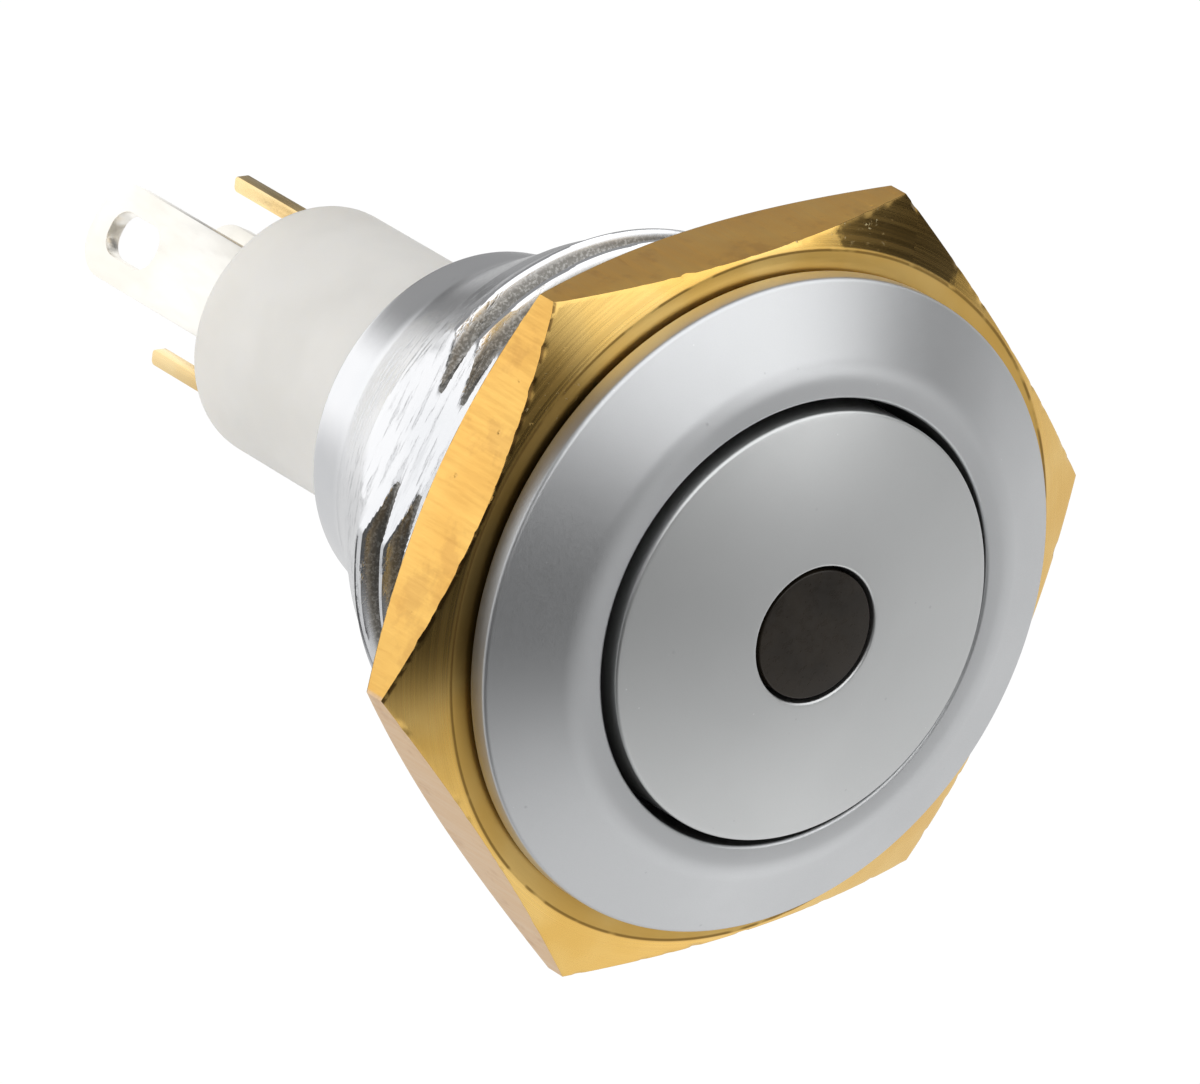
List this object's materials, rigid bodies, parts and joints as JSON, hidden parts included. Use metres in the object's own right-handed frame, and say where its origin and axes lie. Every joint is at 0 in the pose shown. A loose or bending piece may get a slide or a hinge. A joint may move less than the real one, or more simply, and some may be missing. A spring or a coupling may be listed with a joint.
{
  "type": "pushbutton switch",
  "caption": "Panel-mount metal pushbutton switch: domed button with a lamp window in a sloped bezel, threaded barrel with hex nut, plastic body, solder lugs and lamp pins.",
  "frame": {"origin": "on the switch's axis at the panel seat, the underside of the bezel", "axes": "+Z out of the front of the button; -Y and +Y are the sides of the barrel's flats and of the solder lugs' broad faces; the lamp pins lie on the X axis"},
  "size_m": [0.023, 0.0206, 0.0315],
  "materials": {
    "bright_chrome": "satin bright plating, finely speckled",
    "bare_brass": "turned and milled, bare",
    "satin_chrome": "fine satin plating",
    "smoked_window": "smoked, polished",
    "seal_rubber": "smooth",
    "black_plastic": "moulded, plain",
    "spring_steel": "drawn wire",
    "contact_silver": "silver plated",
    "tinned_copper": "stamped and tinned",
    "milky_plastic": "moulded, slightly cloudy",
    "lamp_epoxy": "clear, moulded",
    "resistor_coat": "lacquered",
    "gold_plate": "gold plated"
  },
  "bodies": {
    "housing": {"bezel_barrel": "bright_chrome", "terminal_base": "milky_plastic", "fixed_contact_near": "tinned_copper", "fixed_contact_far": "tinned_copper", "contact_tip_near": "contact_silver", "contact_tip_far": "contact_silver", "return_spring": "spring_steel", "led_lamp": "lamp_epoxy", "led_anode_lead": "tinned_copper", "led_cathode_lead": "tinned_copper", "led_resistor": "resistor_coat", "resistor_lead": "tinned_copper", "led_pin_anode": "gold_plate", "led_pin_cathode": "gold_plate"},
    "button": {"button_cap": "satin_chrome", "button_window": "smoked_window", "button_seal": "seal_rubber", "plunger": "black_plastic", "contact_spring": "spring_steel"},
    "bridge": {"moving_contact": "contact_silver"},
    "nut": {"hex_nut": "bare_brass"}
  },
  "joints": [
    {"name": "button_press", "type": "slide", "parent": "housing", "child": "button", "axis": [0, 0, -1], "range_m": [0, 0.0015], "stiffness_N_per_m": 1200, "springref_m": -0.001, "deforming": ["return_spring"]},
    {"name": "contact_overtravel", "type": "slide", "parent": "button", "child": "bridge", "axis": [0, 0, 1], "range_m": [0, 0.0006], "stiffness_N_per_m": 200, "springref_m": -0.0005, "deforming": ["contact_spring"]},
    {"name": "nut_run", "type": "slide", "parent": "housing", "child": "nut", "axis": [0, 0, -1], "range_m": [0, 0.005]}
  ],
  "couplings": [
    {"joint": "contact_overtravel", "follows": "button_press", "ratio": 0.4}
  ]
}
